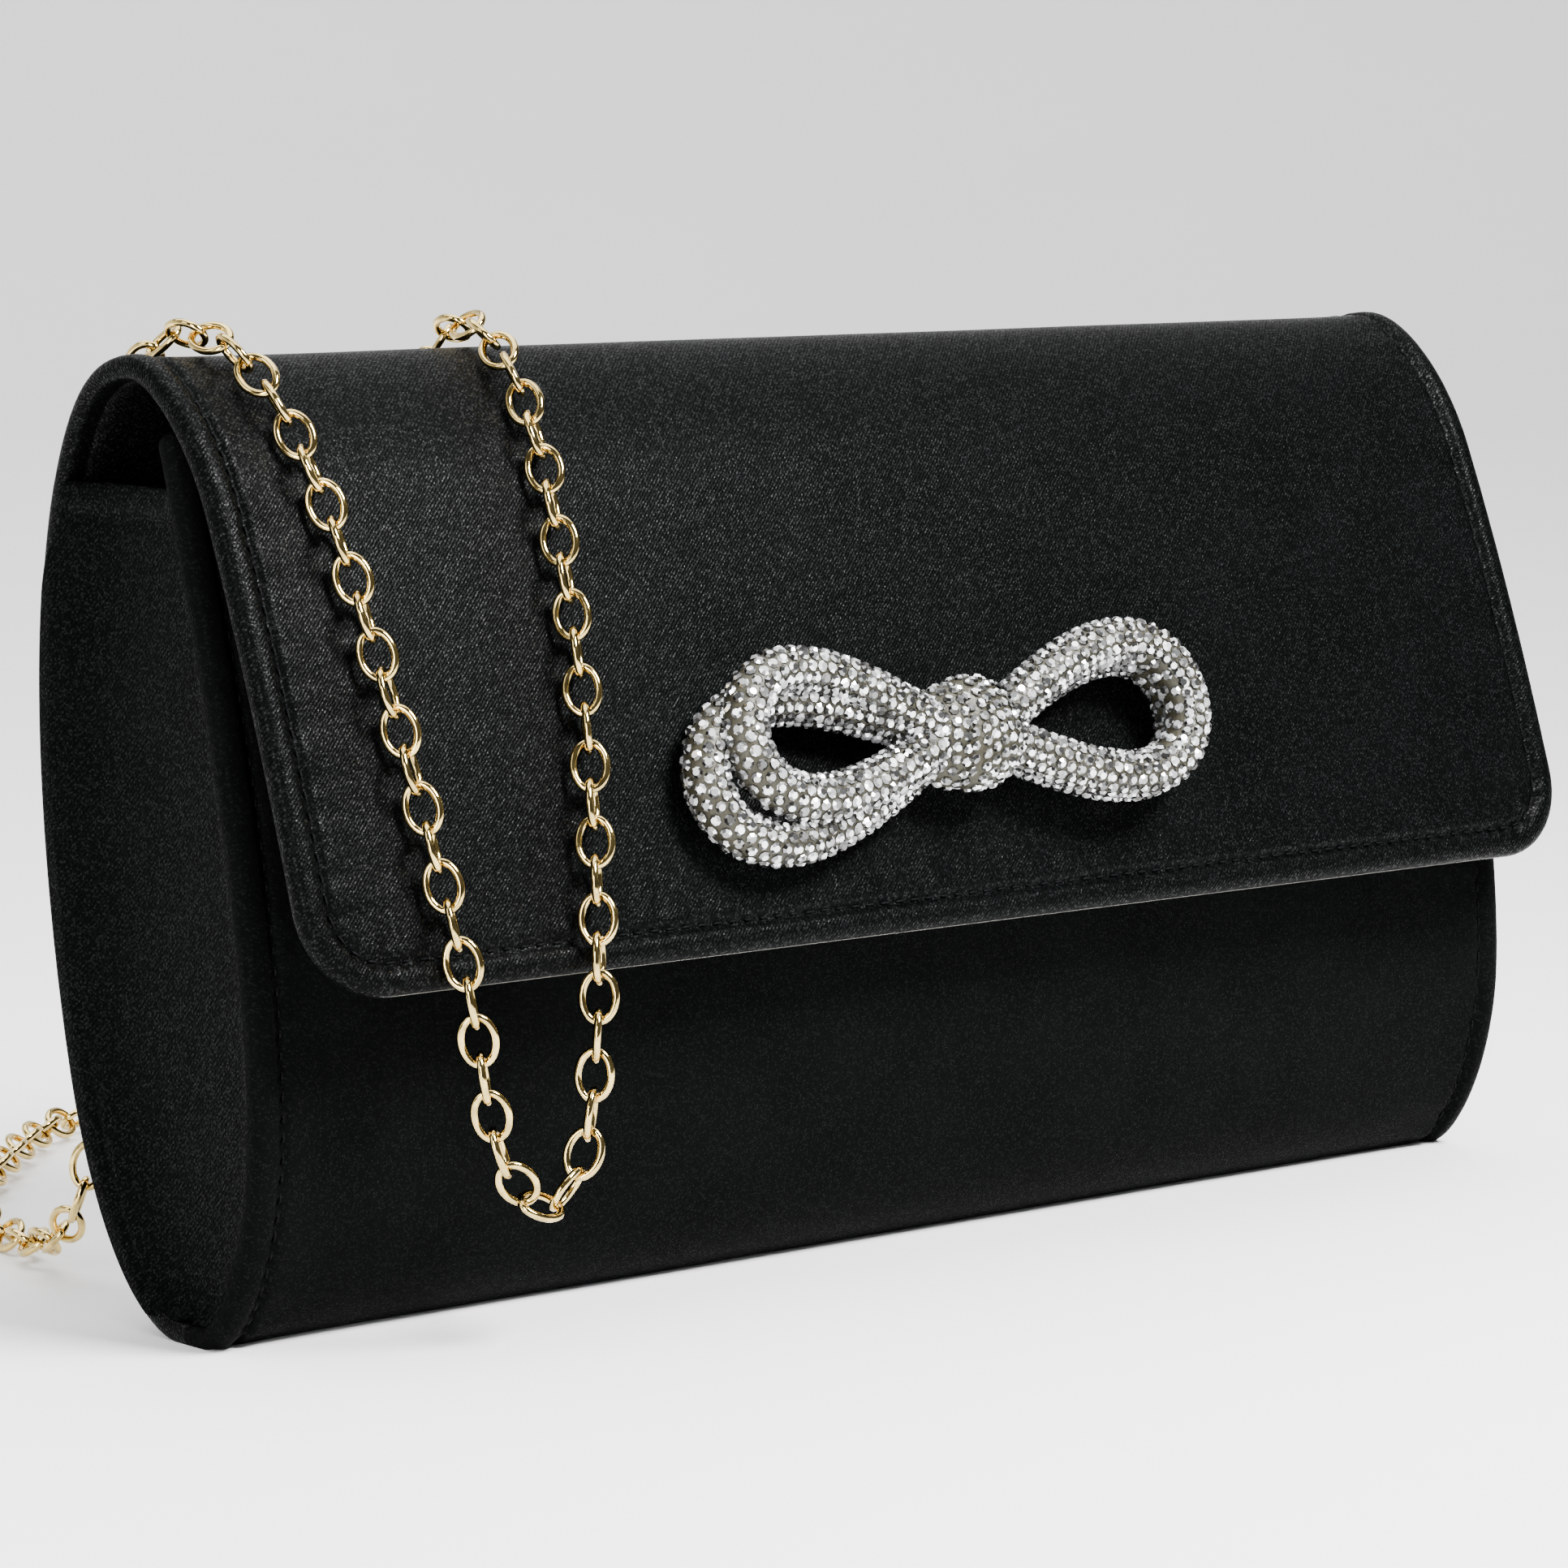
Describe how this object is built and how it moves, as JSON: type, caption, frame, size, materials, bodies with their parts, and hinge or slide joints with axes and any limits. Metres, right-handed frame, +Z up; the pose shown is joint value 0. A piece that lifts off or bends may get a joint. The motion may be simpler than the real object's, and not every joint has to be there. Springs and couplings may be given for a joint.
{
  "type": "clutch purse",
  "caption": "Satin flap clutch purse with a curved body, stone-covered bow ornament, magnetic snap and a detachable gold chain strap.",
  "frame": {"origin": "on the surface the bag stands on, under the middle of the bag without its chain strap", "axes": "+X along the bag's width, to the right seen from the front; the front and its flap face -Y; +Z up"},
  "size_m": [0.2575, 0.1902, 0.1443],
  "materials": {
    "satin_black": "black satin with a blue-grey sheen",
    "satin_lining": "plain black lining satin",
    "fibre_board": "grey bonded fibre board",
    "gold_plate": "polished champagne-gold plate",
    "chain_links": "polished champagne-gold plated cable links",
    "steel_plate": "plated steel",
    "stone_rope": "clear faceted stones set on a grey-beige rope"
  },
  "bodies": {
    "root": {"wrap_cover": "satin_black", "front_cover": "satin_black", "front_board": "fibre_board", "base_board": "fibre_board", "back_board": "fibre_board", "body_lining": "satin_lining", "front_lining": "satin_lining", "gusset_left": "satin_black", "gusset_right": "satin_black", "gusset_lining_left": "satin_lining", "gusset_lining_right": "satin_lining", "slip_pocket": "satin_lining", "snap_socket": "gold_plate", "snap_socket_washer": "steel_plate", "ring_tab_left": "satin_black", "ring_tab_right": "satin_black", "clasp_attached": "gold_plate", "clasp_loose": "gold_plate", "clasp_pins": "gold_plate", "jump_rings": "gold_plate", "strap_floor_left_back": "chain_links", "strap_right_back": "chain_links"},
    "flap": {"flap_cover": "satin_black", "flap_board": "fibre_board", "flap_lining": "satin_lining", "snap_stud": "gold_plate", "snap_stud_washer": "steel_plate", "bow_left_front_loop": "stone_rope", "bow_left_rear_loop": "stone_rope", "bow_right_front_loop": "stone_rope", "bow_right_rear_loop": "stone_rope", "bow_knot": "stone_rope", "bow_posts": "steel_plate", "bow_backing": "steel_plate", "strap_front": "chain_links"},
    "ring_left": {"d_ring_left": "gold_plate"},
    "ring_right": {"d_ring_right": "gold_plate"},
    "lever_attached": {"clasp_attached_lever": "gold_plate"},
    "lever_loose": {"clasp_loose_lever": "gold_plate"}
  },
  "joints": [
    {"name": "flap_fold", "type": "hinge", "parent": "root", "child": "flap", "pos_m": [0, 0.0322, 0.1196], "axis": [-1, 0, 0], "range_deg": [0, 150]},
    {"name": "ring_left_swing", "type": "hinge", "parent": "root", "child": "ring_left", "pos_m": [-0.1193, 0.018, 0.1165], "axis": [0, -1, 0], "range_deg": [0, 160]},
    {"name": "ring_right_swing", "type": "hinge", "parent": "root", "child": "ring_right", "pos_m": [0.1273, 0.018, 0.1196], "axis": [0, 1, 0], "range_deg": [-3, 3]},
    {"name": "clasp_attached_gate", "type": "hinge", "parent": "root", "child": "lever_attached", "pos_m": [0.1296, 0.018, 0.10355], "axis": [0, -1, 0], "range_deg": [0, 25], "stiffness_Nm_per_rad": 0.004, "springref_deg": -34.38},
    {"name": "clasp_loose_gate", "type": "hinge", "parent": "root", "child": "lever_loose", "pos_m": [0.017, 0.0587, 0.00165], "axis": [0, 0, 1], "range_deg": [0, 25], "stiffness_Nm_per_rad": 0.004, "springref_deg": -34.38}
  ]
}
